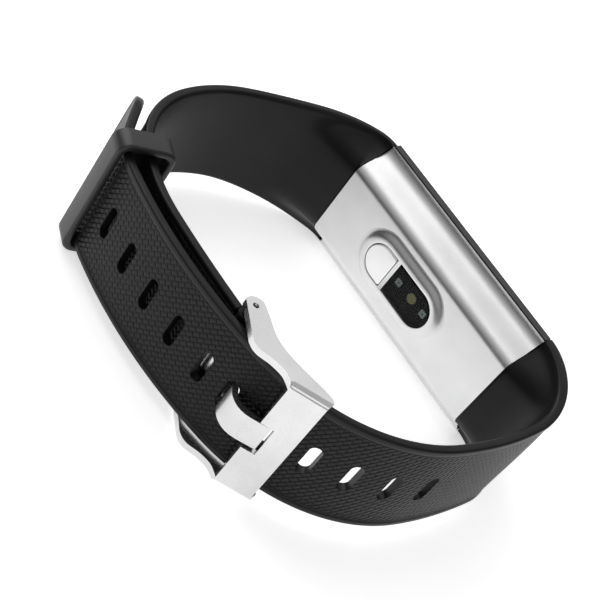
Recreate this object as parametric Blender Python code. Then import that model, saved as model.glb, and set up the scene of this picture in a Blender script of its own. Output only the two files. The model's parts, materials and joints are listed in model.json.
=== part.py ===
"""Fitness tracker band, closed by its buckle and lying on its side.

The band is drawn in its loop plane: u runs along the tracker towards the end that carries the punched
strap, v points away from the wrist at the tracker, and w runs across the band. All three are in mm.
In the world the loop plane is level: X = -u, Y = -v and Z = w, so the display faces -Y.
"""

import math

import bmesh
import bpy
from mathutils import Vector

MM = 0.001

# Place of the loop plane's origin in the world, so that the band stands centred on the floor.
CENTRE_U = -3.542
CENTRE_V = -17.917

# Tracker body.
HALF_LENGTH = 16.3
HALF_WIDTH = 9.6
EDGE_V = 0.65
RIM_V = 2.1
CROWN = 3.9
GLASS_V = 4.5
PLATEAU = 3.4
PLATEAU_HALF = 5.0
SKIN = 0.7
GAP = 0.3

# Sensor island: a stadium on the plateau.
ISLAND_U = -1.36
ISLAND_STRAIGHT = 7.6
ISLAND_RADIUS = 3.35
ISLAND_HOLE_RADIUS = 2.95
ISLAND_POCKET_RADIUS = 2.6
ISLAND_PROUD = 0.6
DIVIDER_U = -3.05
DIVIDER = 0.6

# Straps.
STRAP = 1.25
STRAP_HALF = 7.65
BLEND = 22.0
ROOT = 14.0
STATION = 1.5
TAB_HALF = 6.2
TAB_V = (0.9, 3.1)
TAB_LENGTH = 3.3
CROSS_PIN_U = 14.9
CROSS_PIN_V = 2.0
CROSS_PIN_RADIUS = 0.5
HOLE_STRAP_START = (HALF_LENGTH + GAP, 2.3)
HOLE_STRAP_ARCS = ((1.5, -15), (14, -72), (14, -14), (27, -66), (27, -24), (8, -34), (11, -6))
BUCKLE_STRAP_START = (-HALF_LENGTH - GAP, 1.55)
BUCKLE_STRAP_ARCS = ((2.8, 33), (8.5, 22), (6.8, 9), (14.5, 35.5), (14.8, 53), (10.3, 24.5), (13.6, 5))
SLOT_PITCH = 5.25
SLOT_FIRST = 29.9
SLOTS = 11
TONGUE_SLOT = 5
SLOT_HALF = 2.25
SLOT_WIDTH = 1.6
TONGUE_SLOT_WIDTH = 3.7

# Buckle.
PIN = (2.15, -38.3)
BARREL_RADIUS = 1.3
BORE_RADIUS = 0.85
TUBE_RADIUS = 0.55
TUBE_BORE = 0.38
PLUNGER_RADIUS = 0.26
PLUNGER_END = 8.65
ARM = 0.9
FRAME_HALF = 9.1
PLATE = 0.8
PLATE_START = (12.3, -40.7)
PLATE_END = (16.0, -37.9)
TONGUE_HALF = 1.9
TONGUE = 0.8
NOTCH_CLEARANCE = 0.35

# Keeper.
KEEPER = (-21.9, -37.35)
KEEPER_HEADING = -22.0
KEEPER_HALF_LENGTH = 1.6
KEEPER_HALF_HEIGHT = 3.75
KEEPER_HALF_WIDTH = 9.1
KEEPER_WALL = 1.1


def world(u, v, w):
    return Vector((CENTRE_U - u, CENTRE_V - v, w + HALF_WIDTH)) * MM


def clear_scene():
    for obj in list(bpy.data.objects):
        bpy.data.objects.remove(obj, do_unlink=True)


def material(name, colour, roughness, metallic=0.0, alpha=1.0):
    made = bpy.data.materials.new(name)
    made.use_nodes = True
    shader = made.node_tree.nodes["Principled BSDF"]
    shader.inputs["Base Color"].default_value = (*colour, 1.0)
    shader.inputs["Roughness"].default_value = roughness
    shader.inputs["Metallic"].default_value = metallic
    shader.inputs["Alpha"].default_value = alpha
    made.diffuse_color = (*colour, alpha)
    return made


def add_object(name, mesh_data, look, origin=None):
    """An object from a bmesh in world metres, with its origin moved to a place in the loop plane."""
    bmesh.ops.remove_doubles(mesh_data, verts=mesh_data.verts, dist=1e-7)
    bmesh.ops.recalc_face_normals(mesh_data, faces=mesh_data.faces)
    at = world(*origin) if origin else Vector((0, 0, 0))
    bmesh.ops.translate(mesh_data, verts=mesh_data.verts, vec=-at)
    mesh = bpy.data.meshes.new(name)
    mesh_data.to_mesh(mesh)
    mesh_data.free()
    obj = bpy.data.objects.new(name, mesh)
    obj.location = at
    bpy.context.scene.collection.objects.link(obj)
    if look:
        mesh.materials.append(look)
    return obj


def combine(obj, other, operation):
    """A Boolean with a helper that stays hidden."""
    other.hide_render = True
    other.display_type = "WIRE"
    step = obj.modifiers.new(operation.title() + " " + other.name, "BOOLEAN")
    step.operation = operation
    step.solver = "EXACT"
    step.object = other
    return obj


def cut(obj, *others):
    for other in others:
        combine(obj, other, "DIFFERENCE")
    return obj


def join(obj, *others):
    for other in others:
        combine(obj, other, "UNION")
    return obj


def rings_mesh(rings):
    """A closed body through rings of equal point counts, with flat ends."""
    made = bmesh.new()
    rows = [[made.verts.new(point) for point in ring] for ring in rings]
    count = len(rows[0])
    for low, high in zip(rows, rows[1:]):
        for i in range(count):
            j = (i + 1) % count
            made.faces.new((low[i], low[j], high[j], high[i]))
    made.faces.new(rows[0])
    made.faces.new(rows[-1])
    return made


def prism_across(name, outline, low, high, look=None, origin=None):
    """An outline of (u, v) points, drawn out across the band."""
    rings = [[world(u, v, w) for u, v in outline] for w in (low, high)]
    return add_object(name, rings_mesh(rings), look, origin)


def prism_out(name, outline, low, high, look=None):
    """An outline of (u, w) points, drawn out along v."""
    rings = [[world(u, v, w) for u, w in outline] for v in (low, high)]
    return add_object(name, rings_mesh(rings), look)


def slab(name, us, vs, ws, look=None):
    outline = ((us[0], vs[0]), (us[1], vs[0]), (us[1], vs[1]), (us[0], vs[1]))
    return prism_across(name, outline, ws[0], ws[1], look)


def circle(centre, radius, count=20, start=0.0, turn=360.0):
    whole = turn >= 360.0
    steps = count if whole else count + 1
    points = []
    for i in range(steps):
        angle = math.radians(start + turn * i / count)
        points.append((centre[0] + radius * math.cos(angle), centre[1] + radius * math.sin(angle)))
    return points


def rod(name, centre, radius, low, high, look=None, count=20, origin=None):
    return prism_across(name, circle(centre, radius, count), low, high, look, origin)


def stadium(centre_u, straight, radius, low_u=-math.inf, high_u=math.inf):
    """(u, w) points of a stadium along u, kept between two cuts."""
    half = straight / 2
    points = circle((centre_u + half, 0.0), radius, 16, -90, 180)
    points += circle((centre_u - half, 0.0), radius, 16, 90, 180)
    inside = [p for p in points if low_u < p[0] < high_u]
    if len(inside) < len(points):
        edge = high_u if high_u < math.inf else low_u
        side = 1 if high_u < math.inf else -1
        inside += [(edge, side * radius), (edge, -side * radius)]
        middle = sum(p[0] for p in inside) / len(inside)
        inside.sort(key=lambda p: math.atan2(p[1], p[0] - middle))
    return inside


def rounded_box(half_a, half_b, radius, count=5):
    """Points of a rounded rectangle round (0, 0)."""
    points = []
    for a, b, start in ((1, 1, 0), (-1, 1, 90), (-1, -1, 180), (1, -1, 270)):
        centre = (a * (half_a - radius), b * (half_b - radius))
        points += circle(centre, radius, count, start, 90)
    return points


def plateau_rise(w, half=HALF_WIDTH):
    """How far the back bulges towards the wrist, from 0 at the edge to 1 on the plateau."""
    flat = PLATEAU_HALF / HALF_WIDTH
    place = (min(abs(w) / half, 1.0) - flat) / (1.0 - flat)
    return 1.0 if place <= 0 else 0.5 + 0.5 * math.cos(math.pi * place)


def crown_rise(w, half=HALF_WIDTH):
    """How far the front bulges away from the wrist, from 0 at the edge to 1 in the middle."""
    return max(0.0, 1.0 - (abs(w) / half) ** 2.6)


def spread(half, count):
    """Places across the band, closer together at the edges."""
    return [half * math.sin(math.pi / 2 * (2 * i / count - 1)) for i in range(count + 1)]


def back_outline(offset, half):
    return [(EDGE_V - (PLATEAU + EDGE_V) * plateau_rise(w) + offset, w) for w in spread(half, 24)]


def front_outline(offset, half):
    return [(RIM_V + CROWN * crown_rise(w) - offset, w) for w in spread(half, 20)]


def prism_along(name, outline, low, high, look=None):
    """An outline of (v, w) points, drawn out along u."""
    rings = [[world(u, v, w) for v, w in outline] for u in (low, high)]
    return add_object(name, rings_mesh(rings), look)


# --- Tracker body ---


def make_back_cover(look):
    outer = back_outline(0.0, HALF_WIDTH)
    inner = [(min(v, EDGE_V), w) for v, w in back_outline(SKIN, HALF_WIDTH - SKIN)]
    cover = prism_along("back_cover", outer + inner[::-1], -HALF_LENGTH, HALF_LENGTH, look)
    hole = prism_out(
        "back_cover_hole",
        stadium(ISLAND_U, ISLAND_STRAIGHT, ISLAND_HOLE_RADIUS),
        -PLATEAU - 2,
        -PLATEAU + 2,
    )
    return cut(cover, hole)


def make_sensor_bezel(look):
    """The oval rim: a flange on the plateau and a neck through it, with two D-shaped pockets."""
    face = -PLATEAU - ISLAND_PROUD
    slopes = ((face, -0.28), (face + 0.3, 0.0), (-PLATEAU - 0.12, 0.0))
    rings = []
    for v, grow in slopes:
        outline = stadium(ISLAND_U, ISLAND_STRAIGHT, ISLAND_RADIUS + grow)
        rings.append([world(u, v, w) for u, w in outline])
    bezel = add_object("sensor_bezel", rings_mesh(rings), look)
    neck = prism_out(
        "sensor_bezel_neck",
        stadium(ISLAND_U, ISLAND_STRAIGHT, ISLAND_HOLE_RADIUS - 0.12),
        -PLATEAU - 0.3,
        -PLATEAU + 1.0,
    )
    pockets = [
        prism_out(name, outline, face - 1, -PLATEAU + 2)
        for name, outline in (
            ("plate_pocket", island_part(0.0, -1)),
            ("window_pocket", island_part(0.0, 1)),
        )
    ]
    return cut(join(bezel, neck), *pockets)


def island_part(inset, side):
    """(u, w) outline of the half of the island on one side of the divider, shrunk by an inset."""
    edge = DIVIDER_U + side * (DIVIDER / 2 + inset)
    limits = {"low_u": edge} if side > 0 else {"high_u": edge}
    return stadium(ISLAND_U, ISLAND_STRAIGHT, ISLAND_POCKET_RADIUS - inset, **limits)


def make_sensor_island(looks):
    face = -PLATEAU - ISLAND_PROUD
    make_sensor_bezel(looks["satin_silver"])
    prism_out("contact_plate", island_part(0.1, -1), face - 0.05, -PLATEAU + 0.6, looks["contact"])
    prism_out("sensor_window", island_part(0.1, 1), face + 0.05, face + 0.75, looks["window"])
    slab("sensor_board", (-6.4, 4.6), (-2.2, -1.6), (-2.6, 2.6), looks["board"])
    slab("sensor_led", (0.1, 1.7), (-2.95, -2.35), (-1.1, 0.5), looks["lamp"])
    for name, u in (("photodiode_upper", -1.9), ("photodiode_lower", 3.4)):
        slab(name, (u - 0.65, u + 0.65), (-2.85, -2.35), (-1.0, 0.3), looks["photodiode"])


def make_front_housing(look):
    """The dark body: a domed shell, open at the back, with a seat for the cover glass."""
    low = EDGE_V + GAP
    dome = front_outline(0.0, HALF_WIDTH)
    outline = [(low, -HALF_WIDTH), *dome, (low, HALF_WIDTH)]
    body = prism_along("front_housing", outline, -HALF_LENGTH, HALF_LENGTH, look)
    room = slab("housing_room", (-13.0, 13.0), (-1.0, 2.9), (-7.9, 7.9))
    sight = prism_out("housing_sight", rounded_box(11.8, 5.6, 1.2), 2.0, 9.0)
    seat = prism_out("housing_seat", rounded_box(14.75, 6.75, 2.4), GLASS_V - 0.2, 9.0)
    doors = slab("housing_doors", (-20, 20), (-1.0, 3.4), (-TAB_HALF - GAP, TAB_HALF + GAP))
    pins = [
        rod(name, (side * CROSS_PIN_U, CROSS_PIN_V), CROSS_PIN_RADIUS + 0.12, -8.9, 8.9)
        for name, side in (("housing_pin_hole_upper", -1), ("housing_pin_hole_lower", 1))
    ]
    return cut(body, room, sight, seat, doors, *pins)


def make_cover_glass(look):
    """A slightly domed pane, level with the housing around it."""
    rings = []
    for rise, shrink in ((0.0, 0.0), (0.25, 0.0), (0.75, 0.7), (1.2, 1.9), (1.5, 3.4)):
        outline = rounded_box(14.5 - 0.5 * shrink, 6.5 - shrink, 2.4 - 0.3 * shrink)
        rings.append([world(u, GLASS_V + rise, w) for u, w in outline])
    return add_object("cover_glass", rings_mesh(rings), look)


def make_inner_parts(looks):
    slab("display_panel", (-11.4, 11.4), (3.75, 4.1), (-5.2, 5.2), looks["display"])
    slab("main_board", (-12.4, 12.4), (2.35, 2.75), (-5.3, 5.3), looks["board"])
    slab("processor_chip", (-9.6, -4.6), (2.95, 3.5), (-2.5, 2.5), looks["chip"])
    slab("radio_chip", (-2.4, 1.2), (2.95, 3.4), (-1.8, 1.8), looks["chip"])
    slab("battery", (-12.3, 5.2), (-0.9, 2.1), (-5.5, 5.5), looks["battery"])
    prism_out("vibration_motor", circle((9.5, 0.0), 3.0, 24), -0.3, 2.1, looks["motor"])
    bend = ((5.5, -1.5), (6.1, -1.5), (6.1, 2.15), (5.5, 2.15))
    prism_across("sensor_flex", bend, -2.0, 2.0, looks["flex"])
    for name, side in (("buckle_strap_pin", -1), ("hole_strap_pin", 1)):
        rod(name, (side * CROSS_PIN_U, CROSS_PIN_V), CROSS_PIN_RADIUS, -8.7, 8.7, looks["steel"], 16)


# --- Straps ---


def arc_path(start, heading, arcs):
    """(distance, u, v, heading) along tangent arcs given as (length, turn in degrees)."""
    u, v = start
    angle = math.radians(heading)
    distance = 0.0
    stations = [(distance, u, v, angle)]
    for length, turn in arcs:
        steps = max(2, round(length / STATION))
        step = length / steps
        bend = math.radians(turn) / steps
        for _ in range(steps):
            u += step * math.cos(angle + bend / 2)
            v += step * math.sin(angle + bend / 2)
            angle += bend
            distance += step
            stations.append((distance, u, v, angle))
    return stations


def fade(distance, length):
    """1 at the tracker, 0 from the given length on."""
    place = min(distance / length, 1.0)
    return 0.5 + 0.5 * math.cos(math.pi * place)


def strap_half(distance):
    return STRAP_HALF + (HALF_WIDTH - STRAP_HALF) * fade(distance, BLEND)


def strap_ring(station, side, half):
    """One cross-section: the outer face follows the path and the inner face lies on the wrist side.

    At the tracker the inner face runs level with the back cover."""
    distance, u, v, angle = station
    inward = (-side * math.sin(angle), side * math.cos(angle))
    root = fade(distance, ROOT)
    start_v = BUCKLE_STRAP_START[1] if side > 0 else HOLE_STRAP_START[1]
    thick = STRAP + (start_v - EDGE_V - STRAP) * root
    places = spread(half, 10)
    outer = []
    inner = []
    for w in places:
        edge = 0.3 * STRAP * (abs(w) / half) ** 8
        outer.append((edge - root * CROWN * crown_rise(w, half), w))
        inner.append((thick - edge * (1 - root) + root * (PLATEAU + EDGE_V) * plateau_rise(w, half), w))
    ring = outer + inner[::-1]
    return [world(u + inward[0] * depth, v + inward[1] * depth, w) for depth, w in ring]


def at_distance(stations, distance):
    """The place and heading at a distance along the path."""
    for near, far in zip(stations, stations[1:]):
        if distance <= far[0]:
            part = (distance - near[0]) / (far[0] - near[0])
            return [a + part * (b - a) for a, b in zip(near, far)]
    return list(stations[-1])


def strap_tab(name, side):
    """The tongue that the strap pushes into the housing."""
    reach = sorted((side * (HALF_LENGTH - TAB_LENGTH + GAP), side * (HALF_LENGTH + GAP + 0.6)))
    return slab(name, reach, TAB_V, (-TAB_HALF, TAB_HALF))


def cross_pin_hole(name, side):
    centre = (side * CROSS_PIN_U, CROSS_PIN_V)
    return rod(name, centre, CROSS_PIN_RADIUS + 0.12, -HALF_WIDTH, HALF_WIDTH)


def slot_cutter(name, station, side, width):
    """A stadium through the strap, long across it."""
    _, u, v, angle = station
    along = (math.cos(angle), math.sin(angle))
    inward = (-side * math.sin(angle), side * math.cos(angle))
    radius = min(width, SLOT_WIDTH) / 2
    outline = rounded_box(width / 2, SLOT_HALF, radius * 0.98, 4)
    rings = []
    for depth in (-2.0, 3.5):
        ring = []
        for a, w in outline:
            ring.append(world(u + along[0] * a + inward[0] * depth, v + along[1] * a + inward[1] * depth, w))
        rings.append(ring)
    return add_object(name, rings_mesh(rings), None)


def make_hole_strap(look):
    stations = arc_path(HOLE_STRAP_START, 0.0, HOLE_STRAP_ARCS)
    total = stations[-1][0]
    nose = total - STRAP_HALF
    rings = [strap_ring(s, -1, strap_half(s[0])) for s in stations if s[0] < nose - 0.5]
    for i in range(9):
        angle = math.pi / 2 * min(i / 8, 0.97)
        station = at_distance(stations, nose + STRAP_HALF * math.sin(angle))
        rings.append(strap_ring(station, -1, STRAP_HALF * math.cos(angle)))
    strap = add_object("hole_strap", rings_mesh(rings), look)
    join(strap, strap_tab("hole_strap_tab", 1))
    cut(strap, cross_pin_hole("hole_strap_bore", 1))
    for i in range(SLOTS):
        width = TONGUE_SLOT_WIDTH if i == TONGUE_SLOT else SLOT_WIDTH
        station = at_distance(stations, SLOT_FIRST + i * SLOT_PITCH)
        cut(strap, slot_cutter(f"slot_{i}", station, -1, width))
    return strap


def make_buckle_strap(look):
    stations = arc_path(BUCKLE_STRAP_START, 180.0, BUCKLE_STRAP_ARCS)
    rings = [strap_ring(s, 1, strap_half(s[0])) for s in stations]
    strap = add_object("buckle_strap", rings_mesh(rings), look)
    join(strap, strap_tab("buckle_strap_tab", -1))
    join(strap, rod("strap_barrel", PIN, BARREL_RADIUS, -STRAP_HALF + 0.1, STRAP_HALF - 0.1, None, 24))
    cut(strap, cross_pin_hole("buckle_strap_bore", -1))
    cut(strap, rod("spring_bar_bore", PIN, BORE_RADIUS, -HALF_WIDTH, HALF_WIDTH, None, 20))
    half = TONGUE_HALF + 0.4
    cut(strap, slab("tongue_gap", (PIN[0] - 2.2, PIN[0] + 3), (PIN[1] - 4, PIN[1] + 4), (-half, half)))
    return strap


# --- Buckle ---


def arm_outline():
    """Side view of an arm: an eye round the pin, a dip past the strap and a corner under the plate."""
    eye = circle(PIN, 1.3, 8, 60, 150)
    dip = [(4.4, -40.75), (5.9, -41.55), (7.3, -41.6), (8.9, -40.75), (10.4, -40.3), (11.4, -40.4)]
    corner = [PLATE_START, PLATE_END, (15.2, -36.75), (10.6, -37.95), (8.4, -38.4), (6.4, -38.35)]
    return eye + dip + corner + [(4.0, -37.55)]


def plate_outline(outset=0.0, reach=0.0):
    (u0, v0), (u1, v1) = PLATE_START, PLATE_END
    length = math.hypot(u1 - u0, v1 - v0)
    along = ((u1 - u0) / length, (v1 - v0) / length)
    inward = (-along[1], along[0])
    corners = []
    for a, depth in ((-reach, -outset), (length, -outset), (length, PLATE + outset), (-reach, PLATE + outset)):
        corners.append((u0 + along[0] * a + inward[0] * depth, v0 + along[1] * a + inward[1] * depth))
    return corners


def make_buckle_frame(look):
    """A folded channel: a cross plate with an arm down each side to the spring bar."""
    low, high = -FRAME_HALF, FRAME_HALF
    frame = prism_across("buckle_frame", plate_outline(), low, high, look, (*PIN, 0.0))
    for name, near, far in (("frame_arm_low", low, low + ARM), ("frame_arm_high", high - ARM, high)):
        join(frame, prism_across(name, arm_outline(), near, far))
    cut(frame, rod("frame_pin_hole", PIN, PLUNGER_RADIUS + 0.12, low - 1, high + 1, None, 16))
    (u0, v0), (u1, v1) = PLATE_START, PLATE_END
    length = math.hypot(u1 - u0, v1 - v0)
    depth = 1.75
    along = ((u1 - u0) / length, (v1 - v0) / length)
    inward = (-along[1], along[0])
    notch = []
    for a, d in ((-2, -2), (depth, -2), (depth, 2.4), (-2, 2.4)):
        notch.append((u0 + along[0] * a + inward[0] * d, v0 + along[1] * a + inward[1] * d))
    half = TONGUE_HALF + NOTCH_CLEARANCE
    return cut(frame, prism_across("frame_notch", notch, -half, half))


def ribbon(points, thick):
    """A (u, v) outline of a strip with the points down its middle."""
    left = []
    right = []
    for i, (u, v) in enumerate(points):
        before = points[max(i - 1, 0)]
        after = points[min(i + 1, len(points) - 1)]
        du, dv = after[0] - before[0], after[1] - before[1]
        size = math.hypot(du, dv)
        nu, nv = -dv / size * thick / 2, du / size * thick / 2
        left.append((u + nu, v + nv))
        right.append((u - nu, v - nv))
    return left + right[::-1]


def smooth_line(points, pieces=4):
    """More points through the given ones, along a Catmull-Rom curve."""
    ends = [points[0], *points, points[-1]]
    line = []
    for a, b, c, d in zip(ends, ends[1:], ends[2:], ends[3:]):
        for i in range(pieces):
            t = i / pieces
            place = []
            for p, q, r, s in zip(a, b, c, d):
                bend = (2 * p - 5 * q + 4 * r - s) * t * t + (3 * q - p - 3 * r + s) * t**3
                place.append(q + 0.5 * ((r - p) * t + bend))
            line.append(tuple(place))
    return line + [points[-1]]


def make_tongue(look):
    """The prong: an eye round the spring bar, then a bent blade through the strap into the notch."""
    middle = [(2.9, -38.4), (4.8, -38.4), (6.3, -39.1), (7.3, -40.5), (8.7, -41.35), (10.5, -41.15), (13.0, -39.2)]
    blade = ribbon(smooth_line(middle), TONGUE)
    tongue = prism_across("buckle_tongue", blade, -TONGUE_HALF, TONGUE_HALF, look, (*PIN, 0.0))
    join(tongue, rod("tongue_eye", PIN, 1.15, -TONGUE_HALF, TONGUE_HALF))
    return cut(tongue, rod("tongue_bore", PIN, TUBE_RADIUS + 0.15, -5, 5))


def make_spring_bar(looks):
    """A tube with a sprung plunger in each end and the coil between them."""
    tube = rod("bar_tube", PIN, TUBE_RADIUS, -7.9, 7.9, looks["steel"], 20, (*PIN, 0.0))
    cut(tube, rod("bar_tube_bore", PIN, TUBE_BORE, -9, 9, None, 16))
    for name, side in (("bar_plunger_far", -1), ("bar_plunger_near", 1)):
        low, high = sorted((side * 4.6, side * PLUNGER_END))
        rod(name, PIN, PLUNGER_RADIUS, low, high, looks["steel"], 16, (*PIN, side * PLUNGER_END))
    make_coil(looks["steel"])


def make_coil(look):
    """The compression spring, as a helix of round wire."""
    turns, steps, sides = 7, 12, 5
    coil_radius, wire, reach = 0.24, 0.06, 3.2
    rings = []
    for i in range(turns * steps + 1):
        angle = math.tau * i / steps
        w = -reach + 2 * reach * i / (turns * steps)
        ring = []
        for k in range(sides):
            side = math.tau * k / sides
            radius = coil_radius + wire * math.cos(side)
            place = (PIN[0] + radius * math.cos(angle), PIN[1] + radius * math.sin(angle))
            ring.append(world(*place, w + wire * math.sin(side)))
        rings.append(ring)
    add_object("bar_spring", rings_mesh(rings), look)


def make_keeper(look):
    """The loop that holds the end of the punched strap."""
    angle = math.radians(KEEPER_HEADING)
    along = (math.cos(angle), math.sin(angle))
    inward = (-along[1], along[0])

    def sleeve(name, half_height, half_width, radius, reach, material_=None, origin=None):
        rings = []
        for a, shrink in ((-reach, 0.25), (-reach + 0.25, 0.0), (reach - 0.25, 0.0), (reach, 0.25)):
            ring = []
            for h, w in rounded_box(half_height - shrink, half_width - shrink, radius, 5):
                u = KEEPER[0] + along[0] * a + inward[0] * h
                v = KEEPER[1] + along[1] * a + inward[1] * h
                ring.append(world(u, v, w))
            rings.append(ring)
        return add_object(name, rings_mesh(rings), material_, origin)

    loop = sleeve("keeper_loop", KEEPER_HALF_HEIGHT, KEEPER_HALF_WIDTH, 1.6, KEEPER_HALF_LENGTH, look)
    inner_height = KEEPER_HALF_HEIGHT - KEEPER_WALL + 0.25
    inner_width = KEEPER_HALF_WIDTH - KEEPER_WALL + 0.25
    return cut(loop, sleeve("keeper_room", inner_height, inner_width, 0.9, KEEPER_HALF_LENGTH + 2))


def make_looks():
    return {
        "satin_silver": material("satin_silver", (0.72, 0.72, 0.72), 0.32, 1.0),
        "contact": material("contact_metal", (0.8, 0.8, 0.8), 0.22, 1.0),
        "window": material("window_black", (0.012, 0.012, 0.014), 0.06, 0.0),
        "board": material("circuit_board", (0.02, 0.12, 0.07), 0.5),
        "lamp": material("lamp_lens", (0.75, 0.8, 0.35), 0.3),
        "photodiode": material("photodiode_face", (0.1, 0.12, 0.11), 0.25),
        "housing": material("housing_black", (0.02, 0.02, 0.022), 0.42),
        "glass": material("cover_glass", (0.01, 0.01, 0.012), 0.05),
        "display": material("display_dark", (0.01, 0.012, 0.018), 0.2),
        "chip": material("chip_package", (0.03, 0.03, 0.03), 0.5),
        "battery": material("battery_pouch", (0.55, 0.56, 0.58), 0.4, 0.3),
        "motor": material("motor_can", (0.6, 0.6, 0.6), 0.3, 1.0),
        "flex": material("flex_cable", (0.5, 0.25, 0.05), 0.45),
        "steel": material("pin_steel", (0.6, 0.6, 0.62), 0.3, 1.0),
        "strap": material("strap_rubber", (0.022, 0.022, 0.024), 0.55),
        "keeper": material("keeper_rubber", (0.03, 0.03, 0.032), 0.5),
        "buckle": material("buckle_metal", (0.76, 0.76, 0.76), 0.3, 1.0),
    }


def main():
    clear_scene()
    looks = make_looks()
    make_back_cover(looks["satin_silver"])
    make_sensor_island(looks)
    make_front_housing(looks["housing"])
    make_cover_glass(looks["glass"])
    make_inner_parts(looks)
    make_hole_strap(looks["strap"])
    make_buckle_strap(looks["strap"])
    make_buckle_frame(looks["buckle"])
    make_tongue(looks["buckle"])
    make_spring_bar(looks)
    make_keeper(looks["keeper"])


main()
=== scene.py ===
"""Looks of the fitness tracker band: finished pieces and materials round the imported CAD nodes.

The band is drawn in its loop plane: u runs along the tracker towards the end that carries the punched
strap, v points away from the wrist at the tracker, and w runs across the band. All three are in mm.
"""

import json
import math

import bmesh
import bpy
from mathutils import Matrix, Vector

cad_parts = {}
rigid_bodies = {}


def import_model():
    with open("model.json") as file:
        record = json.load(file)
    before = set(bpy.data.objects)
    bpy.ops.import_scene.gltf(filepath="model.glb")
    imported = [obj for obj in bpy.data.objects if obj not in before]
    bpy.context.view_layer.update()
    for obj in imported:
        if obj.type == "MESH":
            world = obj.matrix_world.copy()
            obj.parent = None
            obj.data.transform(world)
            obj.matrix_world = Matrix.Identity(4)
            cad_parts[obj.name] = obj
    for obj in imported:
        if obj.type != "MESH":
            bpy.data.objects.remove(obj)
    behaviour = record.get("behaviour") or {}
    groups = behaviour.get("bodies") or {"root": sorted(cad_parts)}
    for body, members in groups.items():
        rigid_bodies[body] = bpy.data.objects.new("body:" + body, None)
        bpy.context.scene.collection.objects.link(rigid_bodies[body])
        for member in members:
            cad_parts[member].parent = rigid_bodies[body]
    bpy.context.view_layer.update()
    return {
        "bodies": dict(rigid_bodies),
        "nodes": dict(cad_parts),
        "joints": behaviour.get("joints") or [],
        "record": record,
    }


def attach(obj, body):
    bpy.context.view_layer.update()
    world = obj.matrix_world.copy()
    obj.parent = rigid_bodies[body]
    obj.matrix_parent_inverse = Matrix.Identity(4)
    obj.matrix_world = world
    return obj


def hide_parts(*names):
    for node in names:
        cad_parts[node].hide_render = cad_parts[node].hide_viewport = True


MM = 0.001
CENTRE_U = -3.542
CENTRE_V = -17.917

# Tracker body.
HALF_LENGTH = 16.3
HALF_WIDTH = 9.6
EDGE_V = 0.65
CROWN = 3.9
PLATEAU = 3.4
PLATEAU_HALF = 4.9
SKIN = 0.7
SHOULDER = 0.9
SEAM = 0.18

# Sensor island.
ISLAND_U = -1.36
ISLAND_STRAIGHT = 7.6
HOLE_RADIUS = 2.95
POCKET_RADIUS = 2.6
PROUD = 0.6
DIVIDER_U = -3.05
DIVIDER = 0.6
RIM_PROFILE = (
    (2.6, 0.2), (2.6, 0.52), (2.63, 0.57), (2.7, 0.6), (2.95, 0.6), (3.2, 0.58), (3.38, 0.53), (3.55, 0.45),
    (3.75, 0.33), (3.95, 0.2), (4.12, 0.1), (4.3, 0.04), (4.5, 0.01), (4.6, -0.1),
)
# Layers of the two inlays: depth behind the island's face, and inset of the outline.
CONTACT_LAYERS = ((1.2, 0.1), (0.08, 0.1), (0.01, 0.13), (-0.04, 0.2), (-0.05, 0.3))
WINDOW_LAYERS = ((0.75, 0.1), (0.16, 0.1), (0.09, 0.13), (0.05, 0.2), (0.04, 0.4))

# Sensor parts under the window.
LAMP_PLACE = (0.9, -0.3)
LAMP_FACE = -2.95
LAMP_BASE = 0.8
LAMP_LAYERS = ((0.25, 0.72), (0.1, 0.7), (0.03, 0.6), (0.0, 0.42))
DIODE_FACE = -2.85
DIODE_W = -0.35
DIODE_BASE = 0.65
DIODE_WINDOW = 0.46
DIODES = (("photodiode_upper", "diode_upper", -1.9), ("photodiode_lower", "diode_lower", 3.4))

# Straps.
STRAP = 1.25
STRAP_HALF = 7.65
BLEND = 22.0
ROOT = 14.0
STEP = 0.5
HOLE_STRAP_START = (HALF_LENGTH + SEAM, 2.3)
HOLE_STRAP_ARCS = ((1.62, -15), (14, -72), (14, -14), (27, -66), (27, -24), (8, -34), (11, -6))
BUCKLE_STRAP_START = (-HALF_LENGTH - SEAM, 1.55)
BUCKLE_STRAP_ARCS = ((2.92, 33), (8.5, 22), (6.8, 9), (14.5, 35.5), (14.8, 53), (10.3, 24.5), (13.6, 5))
SLOT_PITCH = 5.25
SLOT_FIRST = 29.9
SLOTS = 11
TONGUE_SLOT = 5
SLOT_HALF = 2.25
SLOT_WIDTH = 1.6
TONGUE_SLOT_WIDTH = 1.7
TONGUE_SLOT_SHIFT = 1.0
OUTER_ROUND = 0.32
INNER_ROUND = 0.5
BORDER = 0.75
BORDER_STEP = 0.22
FIELD_DEPTH = 0.12
EDGE_PLACES = (
    0, 0.02, 0.06, 0.12, 0.2, 0.32, 0.5, 0.74, 0.82, 0.9, 0.98, 1.06, 1.4, 2, 2.8, 3.8, 4.8, 5.8, 6.8,
)
TIP_STEPS = 28
TIP_END = 0.985

# Buckle.
PIN = (2.15, -38.3)
BARREL_RADIUS = 1.3
BORE_RADIUS = 0.85
TONGUE_HALF = 1.9
ARM = 0.9
FRAME_HALF = 9.1
PLATE = 0.8
PLATE_START = (12.3, -40.7)
PLATE_END = (16.0, -37.9)
NOTCH_DEPTH = 1.75
NOTCH_CLEARANCE = 0.35
PIN_HOLE = 0.38
FOLD = 0.85

# Keeper.
KEEPER = (-21.9, -37.35)
KEEPER_HEADING = -22.0
KEEPER_HALF_LENGTH = 1.6
KEEPER_HALF_HEIGHT = 3.75
KEEPER_HALF_WIDTH = 9.1
KEEPER_WALL = 1.0

# Camera.
CAMERA_PLACE = (-0.06054, 0.12543, 0.11385)
CAMERA_RIGHT = (-0.54016, -0.683, 0.49167)
CAMERA_UP = (0.76649, -0.15808, 0.62249)
CAMERA_LENS = 85.59

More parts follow.
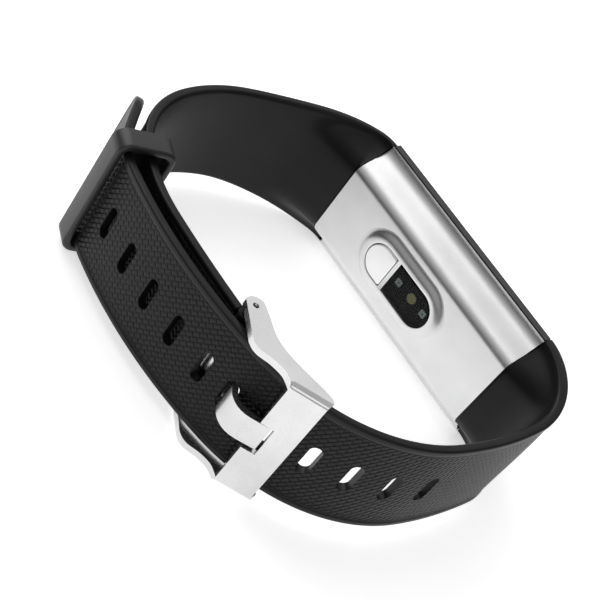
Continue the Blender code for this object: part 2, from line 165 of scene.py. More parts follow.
# Room: the floor's own light, the world's tones and the lights as (name, place, size, power).
FLOOR_GLOW = 0.6
FLOOR_REACH = 2.4
FLOOR_COUNT = 24
ROOM_LOW = (0.1, 0.1, 0.1)
ROOM_HIGH = (0.5, 0.5, 0.5)
LIGHTS = (
    ("key_light", (0.68, -0.1, 0.6), (0.75, 0.75), 3.7),
    ("overhead_strip", (0.1, 0.25, 0.6), (0.7, 0.1), 0.32),
    ("side_light", (0.25, -0.6, 0.5), (0.6, 0.5), 0.55),
    ("fill_light", (-0.5, 0.35, 0.35), (0.4, 0.3), 0.4),
)

# Finishes: dark and light tone, range of roughness, metallic, grain, depth of grain and stretch.
METAL_FINISHES = {
    "satin_silver": ((0.72, 0.72, 0.725), (0.79, 0.79, 0.795), (0.34, 0.43), 1.0, 0.08, 0.0003),
    "contact_metal": ((0.84, 0.84, 0.84), (0.9, 0.9, 0.9), (0.3, 0.4), 1.0, 0.06, 0.0003),
    "buckle_metal": ((0.66, 0.66, 0.665), (0.75, 0.75, 0.755), (0.24, 0.33), 1.0, 0.08, 0.0003, (1, 1, 0.3)),
    "pin_steel": ((0.5, 0.5, 0.52), (0.66, 0.66, 0.68), (0.2, 0.35), 1.0, 0.08, 0.001, (1, 1, 8)),
    "motor_can": ((0.52, 0.52, 0.53), (0.64, 0.64, 0.65), (0.25, 0.4), 1.0, 0.1, 0.001),
    "battery_pouch": ((0.48, 0.49, 0.51), (0.6, 0.61, 0.63), (0.35, 0.5), 0.6, 0.9, 0.02),
}
OTHER_FINISHES = {
    "circuit_board": ((0.002, 0.008, 0.006), (0.004, 0.018, 0.012), (0.35, 0.5), 0.0, 0.3, 0.01),
    "chip_package": ((0.014, 0.014, 0.014), (0.03, 0.03, 0.03), (0.45, 0.6)),
    "flex_cable": ((0.3, 0.13, 0.02), (0.42, 0.2, 0.035), (0.35, 0.5), 0.0, 0.4, 0.01),
    "display_dark": ((0.004, 0.005, 0.008), (0.007, 0.008, 0.012), (0.12, 0.2), 0.0, 0.2, 0.001),
    "photodiode_face": ((0.2, 0.26, 0.24), (0.34, 0.4, 0.37), (0.2, 0.35), 0.0, 0.2, 0.004),
    "lamp_lens": ((0.62, 0.58, 0.26), (0.8, 0.76, 0.4), (0.15, 0.3), 0.0, 0.2, 0.004),
    "housing_black": ((0.012, 0.012, 0.013), (0.022, 0.022, 0.024), (0.36, 0.46), 0.0, 0.12, 0.003),
    "keeper_rubber": ((0.009, 0.009, 0.0095), (0.015, 0.015, 0.016), (0.38, 0.48), 0.0, 0.14, 0.004),
    "strap_rubber": ((0.004, 0.004, 0.0044), (0.0075, 0.0075, 0.008), (0.38, 0.5), 0.0, 0.12, 0.003),
}
# Painted glow: the lamp lens and the photodiode faces give off light in their own colour, a painted
# brightness that makes them stand out under the dark window; the photodiodes give no light of their own.
PAINTED_GLOWS = {"lamp_lens": 1.1, "photodiode_face": 3.2}
STRAP_GLOSS = 0.24
# Painted shade: the colour that the grooves between the strap's scales are darkened towards.
GROOVE_SHADE_TONE = (0.002, 0.002, 0.002)
GLASS_TONES = ((0.008, 0.008, 0.01), (0.014, 0.014, 0.016))


# --- Geometry helpers ---


def world(u, v, w):
    return Vector((CENTRE_U - u, CENTRE_V - v, w + HALF_WIDTH)) * MM


def fade(distance, length):
    """1 at the tracker, 0 from the given length on."""
    return 0.5 + 0.5 * math.cos(math.pi * min(distance / length, 1.0))


def smooth_step(low, high, value):
    place = min(max((value - low) / (high - low), 0.0), 1.0)
    return place * place * (3 - 2 * place)


def circle(centre, radius, count, start=0.0, turn=360.0):
    steps = count if turn >= 360.0 else count + 1
    angles = [math.radians(start + turn * i / count) for i in range(steps)]
    return [(centre[0] + radius * math.cos(a), centre[1] + radius * math.sin(a)) for a in angles]


def rounded_box(half_a, half_b, radius, count=8):
    points = []
    for a, b, start in ((1, 1, 0), (-1, 1, 90), (-1, -1, 180), (1, -1, 270)):
        points += circle((a * (half_a - radius), b * (half_b - radius)), radius, count, start, 90)
    return points


def smooth_line(points, pieces=6):
    """More points through the given ones, along a Catmull-Rom curve."""
    ends = [points[0], *points, points[-1]]
    line = []
    for a, b, c, d in zip(ends, ends[1:], ends[2:], ends[3:]):
        for i in range(pieces):
            t = i / pieces
            place = []
            for p, q, r, s in zip(a, b, c, d):
                bend = (2 * p - 5 * q + 4 * r - s) * t * t + (3 * q - p - 3 * r + s) * t**3
                place.append(q + 0.5 * ((r - p) * t + bend))
            line.append(tuple(place))
    return line + [points[-1]]


def add_object(name, made, look=None, sharp=35.0):
    """An object from a bmesh in world metres, smooth except at edges sharper than an angle."""
    bmesh.ops.recalc_face_normals(made, faces=made.faces)
    mesh = bpy.data.meshes.new(name)
    made.to_mesh(mesh)
    made.free()
    obj = bpy.data.objects.new(name, mesh)
    bpy.context.scene.collection.objects.link(obj)
    if look:
        mesh.materials.append(look)
    shade(obj, sharp)
    return obj


def shade(obj, sharp=35.0):
    obj.data.polygons.foreach_set("use_smooth", [True] * len(obj.data.polygons))
    obj.data.set_sharp_from_angle(angle=math.radians(sharp))
    obj.data.update()


def loft(rings, closed_ends=True):
    """A skin through rings of equal point counts."""
    made = bmesh.new()
    rows = [[made.verts.new(point) for point in ring] for ring in rings]
    count = len(rows[0])
    pairs = list(zip(rows, rows[1:])) + ([] if closed_ends else [(rows[-1], rows[0])])
    for low, high in pairs:
        for i in range(count):
            j = (i + 1) % count
            made.faces.new((low[i], low[j], high[j], high[i]))
    if closed_ends:
        made.faces.new(rows[0])
        made.faces.new(rows[-1])
    return made


def prism_across(outline, low, high):
    """An outline of (u, v) points, drawn out across the band."""
    return loft([[world(u, v, w) for u, v in outline] for w in (low, high)])


def prism_out(outline, low, high):
    """An outline of (u, w) points, drawn out along v."""
    return loft([[world(u, v, w) for u, w in outline] for v in (low, high)])


def merged(*parts):
    """One bmesh with the shells of several."""
    whole = bmesh.new()
    for part in parts:
        mesh = bpy.data.meshes.new("part")
        bmesh.ops.recalc_face_normals(part, faces=part.faces)
        part.to_mesh(mesh)
        part.free()
        whole.from_mesh(mesh)
        bpy.data.meshes.remove(mesh)
    return whole


def combine(obj, helper_mesh, operation="DIFFERENCE", sharp=35.0):
    """A Boolean with a helper, made part of the mesh at once."""
    helper = add_object(obj.name + "_helper", helper_mesh)
    step = obj.modifiers.new(operation, "BOOLEAN")
    step.operation = operation
    step.solver = "EXACT"
    step.use_self = operation == "UNION"
    step.object = helper
    graph = bpy.context.evaluated_depsgraph_get()
    shape = obj.evaluated_get(graph)
    mesh = bpy.data.meshes.new_from_object(shape, preserve_all_data_layers=True, depsgraph=graph)
    obj.modifiers.clear()
    obj.data = mesh
    bpy.data.objects.remove(helper, do_unlink=True)
    shade(obj, sharp)
    return obj


def round_edges(obj, width, angle=40.0, segments=3):
    """Small rounded edges with even shading."""
    step = obj.modifiers.new("Rounded edges", "BEVEL")
    step.width = width * MM
    step.segments = segments
    step.limit_method = "ANGLE"
    step.angle_limit = math.radians(angle)
    step.harden_normals = True
    step.use_clamp_overlap = True
    return obj


def finish_piece(obj, body, slot, *nodes):
    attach(obj, body)
    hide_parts(*nodes)
    return obj


# --- Materials ---


def add(tree, kind, settings=None, **inputs):
    """A node with its settings and inputs; an input is a value or another node's output."""
    node = tree.nodes.new(kind)
    for name, value in (settings or {}).items():
        setattr(node, name, value)
    for name, value in inputs.items():
        by_index = name[0] == "i" and name[1:].isdigit()
        socket = node.inputs[int(name[1:]) if by_index else name]
        if isinstance(value, bpy.types.NodeSocket):
            tree.links.new(value, socket)
        else:
            socket.default_value = value
    return node


def maths(tree, operation, a, b=0.0):
    return add(tree, "ShaderNodeMath", {"operation": operation}, i0=a, i1=b).outputs[0]


def noise(tree, place, size, detail=3.0, rough=0.55):
    made = add(tree, "ShaderNodeTexNoise", Vector=place, Scale=1 / size, Detail=detail, Roughness=rough)
    return made.outputs["Fac"]


def map_range(tree, value, low, high, to_low, to_high):
    node = tree.nodes.new("ShaderNodeMapRange")
    tree.links.new(value, node.inputs[0])
    for index, number in enumerate((low, high, to_low, to_high), start=1):
        node.inputs[index].default_value = number
    return node.outputs[0]


def mix_colour(tree, share, dark, light):
    node = tree.nodes.new("ShaderNodeMix")
    node.data_type = "RGBA"
    tree.links.new(share, node.inputs["Factor"])
    for socket, value in ((node.inputs[6], dark), (node.inputs[7], light)):
        if isinstance(value, bpy.types.NodeSocket):
            tree.links.new(value, socket)
        else:
            socket.default_value = (*value, 1.0)
    return node.outputs[2]


def bump(tree, height, depth, normal=None, strength=1.0):
    node = add(tree, "ShaderNodeBump", Height=height, Distance=depth, Strength=strength)
    if normal:
        tree.links.new(normal, node.inputs["Normal"])
    return node.outputs["Normal"]


def surface(name, dark, light, rough, metallic=0.0, grain=0.15, depth=0.004, stretch=(1, 1, 1), **inputs):
    """A finish with broad mottling, fine grain and fine scuffs. Sizes are in mm."""
    made = bpy.data.materials.new(name)
    made.use_nodes = True
    made.diffuse_color = (*light, 1.0)
    tree = made.node_tree
    shader = tree.nodes["Principled BSDF"]
    place = add(tree, "ShaderNodeTexCoord").outputs["Object"]
    along = add(tree, "ShaderNodeMapping", Vector=place, Scale=stretch).outputs["Vector"]
    fine = noise(tree, along, grain * MM, 4.0)
    broad = noise(tree, place, 6.0 * MM, 3.0)
    scuffs = map_range(tree, noise(tree, along, 1.3 * MM, 6.0, 0.7), 0.58, 0.72, 0.0, 1.0)
    tone = maths(tree, "ADD", maths(tree, "MULTIPLY", broad, 0.7), maths(tree, "MULTIPLY", fine, 0.3))
    colour = mix_colour(tree, map_range(tree, tone, 0.35, 0.65, 0.0, 1.0), dark, light)
    tree.links.new(colour, shader.inputs["Base Color"])
    spread = maths(tree, "ADD", maths(tree, "MULTIPLY", fine, 0.6), maths(tree, "MULTIPLY", scuffs, 0.4))
    tree.links.new(map_range(tree, spread, 0.2, 0.7, *rough), shader.inputs["Roughness"])
    tree.links.new(bump(tree, fine, depth * MM), shader.inputs["Normal"])
    shader.inputs["Metallic"].default_value = metallic
    for key, value in inputs.items():
        shader.inputs[key.replace("_", " ")].default_value = value
    return made


def add_weave(made, row=0.6, brick=1.05, depth=0.12):
    """Slanting rows of raised scales on the strap's outer face, from the maps "place" and "field", with
    painted shade in the grooves between them.
    """
    tree = made.node_tree
    shader = tree.nodes["Principled BSDF"]
    place, field = [
        add(tree, "ShaderNodeSeparateXYZ", Vector=add(tree, "ShaderNodeUVMap", {"uv_map": name}).outputs[0])
        for name in ("place", "field")
    ]
    slant, drift = [
        maths(tree, "MULTIPLY", maths(tree, operation, place.outputs[1], place.outputs[0]), math.sqrt(0.5))
        for operation in ("ADD", "SUBTRACT")
    ]
    rows = maths(tree, "DIVIDE", slant, row)
    stagger = maths(tree, "MULTIPLY", maths(tree, "MODULO", maths(tree, "FLOOR", rows), 2.0), 0.5)
    along = maths(tree, "FRACT", rows)
    across = maths(tree, "FRACT", maths(tree, "ADD", maths(tree, "DIVIDE", drift, brick), stagger))
    walls = []
    for part, wall in ((along, 0.34), (across, 0.2)):
        edge = maths(tree, "SUBTRACT", 0.5, maths(tree, "ABSOLUTE", maths(tree, "SUBTRACT", part, 0.5)))
        walls.append(map_range(tree, edge, 0.03, wall, 0.0, 1.0))
    lean = map_range(tree, along, 0.0, 1.0, 0.55, 1.0)
    cell = maths(tree, "MULTIPLY", maths(tree, "MINIMUM", *walls), lean)
    inside = map_range(tree, field.outputs[0], 1.0, 1.15, 0.0, 1.0)
    share = maths(tree, "MULTIPLY", inside, field.outputs[1])
    before = shader.inputs["Normal"].links[0].from_socket
    height = maths(tree, "MULTIPLY", cell, share)
    tree.links.new(bump(tree, height, depth * MM, before), shader.inputs["Normal"])
    # Painted shade: the grooves between the scales get a darker colour and less gloss.
    groove_shade = maths(tree, "MULTIPLY", maths(tree, "SUBTRACT", 1.0, cell), share)
    colour = shader.inputs["Base Color"].links[0].from_socket
    shaded = mix_colour(tree, maths(tree, "MULTIPLY", groove_shade, 0.3), colour, GROOVE_SHADE_TONE)
    tree.links.new(shaded, shader.inputs["Base Color"])
    level = maths(tree, "SUBTRACT", STRAP_GLOSS, maths(tree, "MULTIPLY", groove_shade, 0.5 * STRAP_GLOSS))
    tree.links.new(level, shader.inputs["Specular IOR Level"])
    return made


def smoked_glass(name, tint, rough):
    """A dark pane: clear enough to show what lies right under it, glossy on its face."""
    made = surface(name, *GLASS_TONES, (rough, rough + 0.05), grain=0.4, depth=0.0005)
    tree = made.node_tree
    shader = tree.nodes["Principled BSDF"]
    shader.inputs["Specular IOR Level"].default_value = 0.3
    clear = add(tree, "ShaderNodeBsdfTransparent", Color=(*tint, 1.0))
    share = add(tree, "ShaderNodeFresnel", IOR=1.5).outputs[0]
    share = map_range(tree, share, 0.0, 1.0, 0.3, 1.0)
    both = add(tree, "ShaderNodeMixShader", i0=share, i1=clear.outputs[0], i2=shader.outputs[0])
    tree.links.new(both.outputs[0], tree.nodes["Material Output"].inputs["Surface"])
    return made


def make_looks():
    looks = {name: surface(name, *values) for name, values in (METAL_FINISHES | OTHER_FINISHES).items()}
    add_weave(looks["strap_rubber"])
    looks["window_black"] = smoked_glass("window_black", (0.55, 0.55, 0.55), 0.05)
    looks["cover_glass"] = smoked_glass("cover_glass", (0.5, 0.5, 0.5), 0.03)
    # Painted glow: each listed face gives off its own colour as light.
    for name, strength in PAINTED_GLOWS.items():
        tree = looks[name].node_tree
        shader = tree.nodes["Principled BSDF"]
        tree.links.new(shader.inputs["Base Color"].links[0].from_socket, shader.inputs["Emission Color"])
        shader.inputs["Emission Strength"].default_value = strength
    return looks


# --- Tracker body ---


def plateau_rise(w, half=HALF_WIDTH):
    """How far the back bulges towards the wrist, from 0 at the edge to 1 on the plateau."""
    flat = PLATEAU_HALF / HALF_WIDTH
    place = max((min(abs(w) / half, 1.0) - flat) / (1.0 - flat), 0.0)
    return 1.0 - smooth_step(0.0, 1.0, place) * (1 - SHOULDER) - SHOULDER * softer_step(place)


def softer_step(place):
    """A step whose curvature also starts and ends at 0."""
    return place**3 * (10 - 15 * place + 6 * place**2)


def crown_rise(w, half=HALF_WIDTH):
    return max(0.0, 1.0 - (abs(w) / half) ** 2.6)


def back_outline(offset, half, count=120):
    places = [half * math.sin(math.pi / 2 * (2 * i / count - 1)) for i in range(count + 1)]
    return [(EDGE_V - (PLATEAU + EDGE_V) * plateau_rise(w) + offset, w) for w in places]


def make_back_cover(look):
    inner = [(min(v, EDGE_V), w) for v, w in back_outline(SKIN, HALF_WIDTH - SKIN)]
    outline = back_outline(0.0, HALF_WIDTH) + inner[::-1]
    end = HALF_LENGTH + SEAM / 2
    rings = [[world(u, v, w) for v, w in outline] for u in (-end, end)]
    cover = add_object("back_cover_shell", loft(rings), look)
    hole = prism_out(stadium(HOLE_RADIUS), -PLATEAU - 2, -PLATEAU + 2)
    return round_edges(combine(cover, hole), 0.1, 50.0, 2)


def stadium(radius, count=40):
    """(u, w) points of the island's outline at a distance from its middle line."""
    half = ISLAND_STRAIGHT / 2
    points = circle((ISLAND_U + half, 0.0), radius, count, -90, 180)
    return points + circle((ISLAND_U - half, 0.0), radius, count, 90, 180)


def island_part(inset, side, corner=0.3, count=40):
    """(u, w) outline of the island's half on one side of the divider, with small corner rounds."""
    radius = POCKET_RADIUS - inset
    edge = DIVIDER_U + side * (DIVIDER / 2 + inset)
    end = ISLAND_U + side * ISLAND_STRAIGHT / 2
    arc = [(end + side * x, y) for x, y in circle((0.0, 0.0), radius, count, -90, 180)]
    top = [(edge + side * (corner + x), y) for x, y in circle((0.0, radius - corner), corner, 6, 90, 90)]
    low = [(edge + side * (corner + x), y) for x, y in circle((0.0, corner - radius), corner, 6, 180, 90)]
    return arc + top + low


def layers_out(layers, outline):
    """A body through (v, inset) layers of an outline that takes an inset."""
    return loft([[world(u, v, w) for u, w in outline(inset)] for v, inset in layers])


def make_bezel(look):
    """The oval rim: a rounded crown that runs out onto the cover, and the bar between the two pockets."""
    base = -PLATEAU
    rings = [[world(u, base - height, w) for u, w in stadium(radius)] for radius, height in RIM_PROFILE]
    rings += [[world(u, base + 0.9, w) for u, w in stadium(radius)] for radius in (2.8, 2.6)]
    rim = add_object("sensor_rim", loft(rings, closed_ends=False), look)
    half = DIVIDER / 2
    face = base - PROUD
    corners = [(DIVIDER_U + x, w) for x, w in ((-half, -2.75), (half, -2.75), (half, 2.75), (-half, 2.75))]
    bar = prism_out(corners, face + 0.01, base + 0.8)
    return round_edges(combine(rim, bar, "UNION"), 0.06, 50.0, 2)


def make_contact_plate(look):
    layers = [(-PLATEAU - PROUD + behind, inset) for behind, inset in CONTACT_LAYERS]
    return add_object("contact_pad", layers_out(layers, lambda inset: island_part(inset, -1)), look, 60.0)


def make_window(look):
    layers = [(-PLATEAU - PROUD + behind, inset) for behind, inset in WINDOW_LAYERS]
    return add_object("sensor_lens", layers_out(layers, lambda inset: island_part(inset, 1)), look, 60.0)


def make_lamp(look, body_look):
    """A round lens on its dark square base."""
    outline = moved(rounded_box(LAMP_BASE, LAMP_BASE, 0.15, 4), *LAMP_PLACE)
    base = prism_out(outline, LAMP_FACE + 0.25, LAMP_FACE + 0.6)
    rings = []
    for behind, radius in LAMP_LAYERS:
        rings.append([world(x, LAMP_FACE + behind, y) for x, y in circle(LAMP_PLACE, radius, 32)])
    lens = loft(rings)
    lamp = add_object("lamp_lens", base, body_look)
    lamp.data.materials.append(look)
    return add_faces(lamp, lens, 1)


def make_photodiode(name, u, look, body_look):
    """A dark package with a pale sensing face and its bond pad."""
    face = DIODE_FACE
    base = prism_out(moved(rounded_box(DIODE_BASE, DIODE_BASE, 0.08, 4), u, DIODE_W), face + 0.12, face + 0.5)
    chip = add_object(name, base, body_look)
    chip.data.materials.append(look)
    window = prism_out(moved(rounded_box(DIODE_WINDOW, DIODE_WINDOW, 0.05, 4), u, DIODE_W), face, face + 0.13)
    pad = prism_out(moved(circle((0.0, 0.0), 0.12, 16), u + 0.05, -0.3), face - 0.02, face + 0.01)
    add_faces(chip, pad, 0)
    return add_faces(chip, window, 1)


def moved(points, u, w):
    return [(a + u, b + w) for a, b in points]


def add_faces(obj, made, slot):
    """Adds a closed shell to an object, with one of its materials."""
    for face in made.faces:
        face.material_index = slot
    bmesh.ops.recalc_face_normals(made, faces=made.faces)
    made.from_mesh(obj.data)
    made.to_mesh(obj.data)
    made.free()
    shade(obj)
    return obj


# --- Straps ---


def arc_path(start, heading, arcs):
    """(distance, u, v, heading) along tangent arcs given as (length, turn in degrees)."""
    u, v = start
    angle = math.radians(heading)
    distance = 0.0
    stations = [(distance, u, v, angle)]
    for length, turn in arcs:
        steps = max(2, round(length / STEP))
        step = length / steps
        bend = math.radians(turn) / steps
        for _ in range(steps):
            u += step * math.cos(angle + bend / 2)
            v += step * math.sin(angle + bend / 2)
            angle += bend
            distance += step
            stations.append((distance, u, v, angle))
    return stations


def at_distance(stations, distance):
    for near, far in zip(stations, stations[1:]):
        if distance <= far[0]:
            part = (distance - near[0]) / (far[0] - near[0])
            return tuple(a + part * (b - a) for a, b in zip(near, far))
    return stations[-1]


def strap_half(distance):
    return STRAP_HALF + (HALF_WIDTH - STRAP_HALF) * fade(distance, BLEND)


def round_off(inside, radius):
    """How far a rounded corner falls away, at a distance in from the edge."""
    if inside >= radius:
        return 0.0
    return radius - math.sqrt(max(radius**2 - (radius - inside) ** 2, 0.0))


def strap_depths(w, half, inside, root, flush):
    """Depths of the outer and the inner face below the strap's path; flush is the thickness at the root."""
    field = FIELD_DEPTH * smooth_step(BORDER, BORDER + BORDER_STEP, inside) * (1 - root)
    outer = field + round_off(inside, OUTER_ROUND) - root * CROWN * crown_rise(w, half)
    thick = STRAP + (flush - STRAP) * root
    rise = root * (PLATEAU + EDGE_V) * plateau_rise(w * HALF_WIDTH / half)
    inner = thick + rise - round_off(inside, INNER_ROUND) * (1 - 0.8 * root)
    return outer, inner


def strap_section(station, side, half, nose):
    """(point, place, field) round one cross-section: the outer face first, then back along the inner one."""
    distance, u, v, angle = station
    inward = (-side * math.sin(angle), side * math.cos(angle))
    root = fade(distance, ROOT)
    flush = (BUCKLE_STRAP_START[1] if side > 0 else HOLE_STRAP_START[1]) - EDGE_V
    fractions = [1 - e / STRAP_HALF for e in EDGE_PLACES]
    places = [-f * half for f in fractions] + [0.0] + [f * half for f in reversed(fractions)]
    outer, inner = [], []
    for w in places:
        beyond = distance - nose
        inside = STRAP_HALF - math.hypot(w, beyond) if beyond > 0 else half - abs(w)
        depths = strap_depths(w, half, max(inside, 0.0), root, flush)
        for line, depth, flag in zip((outer, inner), depths, (1 - root, 0.0)):
            point = world(u + inward[0] * depth, v + inward[1] * depth, w)
            line.append((point, (distance, w), (inside, flag)))
    return outer + inner[::-1]


def strap_mesh(sections):
    """A closed skin through the sections, with its two maps."""
    made = bmesh.new()
    place_map = made.loops.layers.uv.new("place")
    field_map = made.loops.layers.uv.new("field")
    rows = [[(made.verts.new(p), place, field) for p, place, field in section] for section in sections]
    count = len(rows[0])

    def face(corners):
        for loop, (_, place, field) in zip(made.faces.new([c[0] for c in corners]).loops, corners):
            loop[place_map].uv = place
            loop[field_map].uv = field

    for low, high in zip(rows, rows[1:]):
        for i in range(count):
            j = (i + 1) % count
            face((low[i], low[j], high[j], high[i]))
    face(rows[0])
    face(rows[-1][::-1])
    return made


def slot_prism(station, side, width):
    """A stadium through the strap, long across it."""
    _, u, v, angle = station
    along = (math.cos(angle), math.sin(angle))
    inward = (-side * math.sin(angle), side * math.cos(angle))
    outline = rounded_box(width / 2, SLOT_HALF, SLOT_WIDTH * 0.49, 8)
    rings = []
    for depth in (-1.0, 2.6):
        ring = []
        for a, w in outline:
            place = (u + along[0] * a + inward[0] * depth, v + along[1] * a + inward[1] * depth)
            ring.append(world(*place, w))
        rings.append(ring)
    return loft(rings)


def make_hole_strap(look):
    stations = arc_path(HOLE_STRAP_START, 0.0, HOLE_STRAP_ARCS)
    nose = stations[-1][0] - STRAP_HALF
    sections = [strap_section(s, -1, strap_half(s[0]), nose) for s in stations if s[0] < nose - 0.2]
    for i in range(TIP_STEPS + 1):
        angle = math.pi / 2 * min(i / TIP_STEPS, TIP_END)
        station = at_distance(stations, nose + STRAP_HALF * math.sin(angle))
        sections.append(strap_section(station, -1, STRAP_HALF * math.cos(angle), nose))
    strap = add_object("punched_strap", strap_mesh(sections), look)
    slots = []
    for i in range(SLOTS):
        width, shift = (TONGUE_SLOT_WIDTH, TONGUE_SLOT_SHIFT) if i == TONGUE_SLOT else (SLOT_WIDTH, 0.0)
        slots.append(slot_prism(at_distance(stations, SLOT_FIRST + i * SLOT_PITCH + shift), -1, width))
    return combine(strap, merged(*slots), sharp=42.0)


def make_buckle_strap(look):
    stations = arc_path(BUCKLE_STRAP_START, 180.0, BUCKLE_STRAP_ARCS)
    sections = [strap_section(s, 1, strap_half(s[0]), math.inf) for s in stations]
    strap = add_object("plain_strap", strap_mesh(sections), look)
    barrel = prism_across(circle(PIN, BARREL_RADIUS, 40), -STRAP_HALF + 0.1, STRAP_HALF - 0.1)
    combine(strap, barrel, "UNION", 42.0)
    half = TONGUE_HALF + 0.4
    box = [(PIN[0] + a, PIN[1] + b) for a, b in ((-2.2, -4), (3, -4), (3, 4), (-2.2, 4))]
    combine(strap, prism_across(circle(PIN, BORE_RADIUS, 32), -HALF_WIDTH, HALF_WIDTH), sharp=42.0)
    return combine(strap, prism_across(box, -half, half), sharp=42.0)


# --- Buckle and keeper ---


def arm_outline():
    """Side view of an arm: an eye round the pin, a dip past the strap and a corner under the plate."""
    dip = [(4.4, -40.75), (5.9, -41.55), (7.3, -41.6), (8.9, -40.75), (10.4, -40.3), (11.4, -40.4)]
    top = [(15.2, -36.75), (10.6, -37.95), (8.4, -38.4), (6.4, -38.35), (4.0, -37.55)]
    eye = circle(PIN, 1.3, 24, 60, 150)
    lower = smooth_line([eye[-1], *dip, PLATE_START])
    upper = smooth_line([PLATE_END, *top, eye[0]])
    return eye + lower[1:] + upper[:-1]


def plate_frame():
    (u0, v0), (u1, v1) = PLATE_START, PLATE_END
    length = math.hypot(u1 - u0, v1 - v0)
    along = ((u1 - u0) / length, (v1 - v0) / length)
    return length, along, (-along[1], along[0])


def plate_points(corners):
    """(u, v) of places given along the plate and into it."""
    _, along, inward = plate_frame()
    u, v = PLATE_START
    return [(u + along[0] * a + inward[0] * d, v + along[1] * a + inward[1] * d) for a, d in corners]


def make_frame(look):
    length = plate_frame()[0]
    outline = plate_points(((0, 0), (length, 0), (length, PLATE), (0, PLATE)))
    frame = add_object("buckle_channel", prism_across(outline, -FRAME_HALF, FRAME_HALF), look)
    for low in (-FRAME_HALF, FRAME_HALF - ARM):
        combine(frame, prism_across(arm_outline(), low, low + ARM), "UNION")
    half = TONGUE_HALF + NOTCH_CLEARANCE
    notch = plate_points(((-2, -2), (NOTCH_DEPTH, -2), (NOTCH_DEPTH, 2.4), (-2, 2.4)))
    combine(frame, prism_across(notch, -half, half))
    combine(frame, prism_across(circle(PIN, PIN_HOLE, 24), -FRAME_HALF - 1, FRAME_HALF + 1))
    for side in (-1, 1):
        combine(frame, fold_cutter(side))
    return round_edges(frame, 0.1, 38.0)


def fold_cutter(side):
    """What the bend between the plate and an arm leaves out, fading towards the arm's dip."""
    length = plate_frame()[0]
    rings = []
    for a, radius in ((-0.7, 0.04), (-0.25, FOLD * 0.6), (0.25, FOLD), (length + 1, FOLD)):
        arc = circle((radius, FRAME_HALF - radius), radius, 10, 90, 90)
        section = [(-0.5, FRAME_HALF + 0.5), (radius, FRAME_HALF + 0.5), *arc, (-0.5, FRAME_HALF - radius)]
        rings.append([world(*plate_points(((a, depth),))[0], side * w) for depth, w in section])
    return loft(rings)


def make_keeper(look):
    """A moulded loop: a rounded section carried round a rounded rectangle."""
    angle = math.radians(KEEPER_HEADING)
    along = (math.cos(angle), math.sin(angle))
    inward = (-along[1], along[0])
    section = rounded_box(KEEPER_WALL / 2, KEEPER_HALF_LENGTH, 0.34, 5)
    rings = []
    half_wall = KEEPER_WALL / 2
    path = dense(rounded_box(KEEPER_HALF_HEIGHT - half_wall, KEEPER_HALF_WIDTH - half_wall, 1.15, 12))
    u, v = KEEPER
    for i, (h, w) in enumerate(path):
        before, after = path[i - 1], path[(i + 1) % len(path)]
        dh, dw = after[0] - before[0], after[1] - before[1]
        size = math.hypot(dh, dw)
        out = (dw / size, -dh / size)
        ring = []
        for o, a in section:
            high = h + out[0] * o
            place = (u + along[0] * a + inward[0] * high, v + along[1] * a + inward[1] * high)
            ring.append(world(*place, w + out[1] * o))
        rings.append(ring)
    return add_object("keeper_band", loft(rings, closed_ends=False), look, 50.0)


def dense(points, longest=0.6):
    """The closed outline with its long sides divided."""
    line = []
    for (a, b), (c, d) in zip(points, points[1:] + points[:1]):
        pieces = max(1, math.ceil(math.hypot(c - a, d - b) / longest))
        line += [(a + (c - a) * i / pieces, b + (d - b) * i / pieces) for i in range(pieces)]
    return line


# --- Carried-over CAD nodes ---


def refine(frame, node, name, look, width, angle=30.0, segments=3):
    """A welded copy of a CAD node with flat faces joined and its edges rounded."""
    made = bmesh.new()
    made.from_mesh(frame["nodes"][node].data)
    bmesh.ops.remove_doubles(made, verts=made.verts, dist=1e-6)
    bmesh.ops.dissolve_limit(made, angle_limit=math.radians(0.5), verts=made.verts, edges=made.edges)
    return round_edges(add_object(name, made, look, angle), width, angle, segments)


def dress(frame, looks):
    """The material slot of each carried-over node decides its finish."""
    for node, obj in frame["nodes"].items():
        for slot in obj.material_slots:
            key = slot.material.name.split(".")[0]
            if key in looks:
                slot.material = looks[key]


# --- Stage ---


def make_floor():
    made = bmesh.new()
    bmesh.ops.create_grid(made, x_segments=FLOOR_COUNT, y_segments=FLOOR_COUNT, size=FLOOR_REACH)
    look = surface("studio_floor", (0.84, 0.84, 0.84), (0.86, 0.86, 0.86), (0.55, 0.6), 0.0, 2.0, 0.002)
    shader = look.node_tree.nodes["Principled BSDF"]
    shader.inputs["Emission Color"].default_value = (1.0, 1.0, 1.0, 1.0)
    shader.inputs["Emission Strength"].default_value = FLOOR_GLOW
    add_object("studio_floor", made, look)


def aim(obj, place, target):
    obj.location = place
    obj.rotation_euler = (Vector(target) - Vector(place)).to_track_quat("-Z", "Y").to_euler()
    bpy.context.scene.collection.objects.link(obj)


def add_light(name, place, size, power, target=(0, 0, 0.01)):
    light = bpy.data.lights.new(name, "AREA")
    light.shape = "RECTANGLE"
    light.size, light.size_y = size
    light.energy = power
    aim(bpy.data.objects.new(name, light), place, target)


def make_world():
    """A studio room: grey near the floor, lighter overhead."""
    room = bpy.data.worlds.new("studio_room")
    bpy.context.scene.world = room
    room.use_nodes = True
    tree = room.node_tree
    place = add(tree, "ShaderNodeTexCoord").outputs["Generated"]
    height = add(tree, "ShaderNodeSeparateXYZ", Vector=place).outputs["Z"]
    share = map_range(tree, height, 0.0, 0.9, 0.0, 1.0)
    colour = mix_colour(tree, share, ROOM_LOW, ROOM_HIGH)
    tree.links.new(colour, tree.nodes["Background"].inputs["Color"])
    tree.nodes["Background"].inputs["Strength"].default_value = 1.0


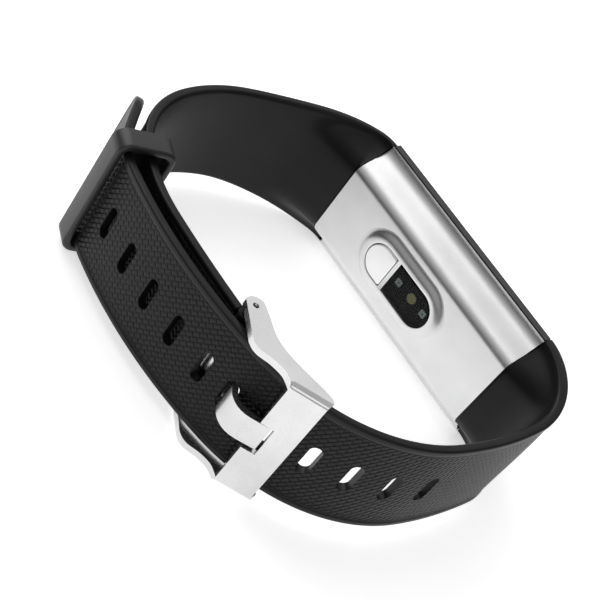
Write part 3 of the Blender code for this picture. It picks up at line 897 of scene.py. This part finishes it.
def make_camera():
    data = bpy.data.cameras.new("camera")
    data.lens = CAMERA_LENS
    data.sensor_width = 36.0
    data.clip_start = 0.005
    camera = bpy.data.objects.new("camera", data)
    right, up = Vector(CAMERA_RIGHT), Vector(CAMERA_UP)
    turn = Matrix((right, up, right.cross(up))).transposed().to_4x4()
    camera.matrix_world = Matrix.Translation(CAMERA_PLACE) @ turn
    bpy.context.scene.collection.objects.link(camera)
    bpy.context.scene.camera = camera


def make_stage():
    make_floor()
    make_world()
    make_camera()
    for light in LIGHTS:
        add_light(*light)
    bpy.context.scene.view_settings.view_transform = "Standard"


def main():
    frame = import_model()
    looks = make_looks()
    dress(frame, looks)
    silver, strap = looks["satin_silver"], looks["strap_rubber"]
    finish_piece(make_back_cover(silver), "tracker", "satin_silver", "back_cover")
    finish_piece(make_bezel(silver), "tracker", "satin_silver", "sensor_bezel")
    finish_piece(make_contact_plate(looks["contact_metal"]), "tracker", "contact_metal", "contact_plate")
    finish_piece(make_window(looks["window_black"]), "tracker", "window_black", "sensor_window")
    finish_piece(make_lamp(looks["lamp_lens"], looks["chip_package"]), "tracker", "lamp_lens", "sensor_led")
    for node, name, u in DIODES:
        diode = make_photodiode(name, u, looks["photodiode_face"], looks["chip_package"])
        finish_piece(diode, "tracker", "photodiode_face", node)
    finish_piece(make_hole_strap(strap), "tracker", "strap_rubber", "hole_strap")
    finish_piece(make_buckle_strap(strap), "tracker", "strap_rubber", "buckle_strap")
    finish_piece(make_frame(looks["buckle_metal"]), "buckle", "buckle_metal", "buckle_frame")
    finish_piece(make_keeper(looks["keeper_rubber"]), "keeper", "keeper_rubber", "keeper_loop")
    for node, name, body, slot, width, angle in (
        ("buckle_tongue", "prong", "tongue", "buckle_metal", 0.12, 30.0),
        ("front_housing", "housing_shell", "tracker", "housing_black", 0.12, 35.0),
        ("cover_glass", "glass_pane", "tracker", "cover_glass", 0.08, 40.0),
    ):
        finish_piece(refine(frame, node, name, looks[slot], width, angle), body, slot, node)
    make_stage()


main()
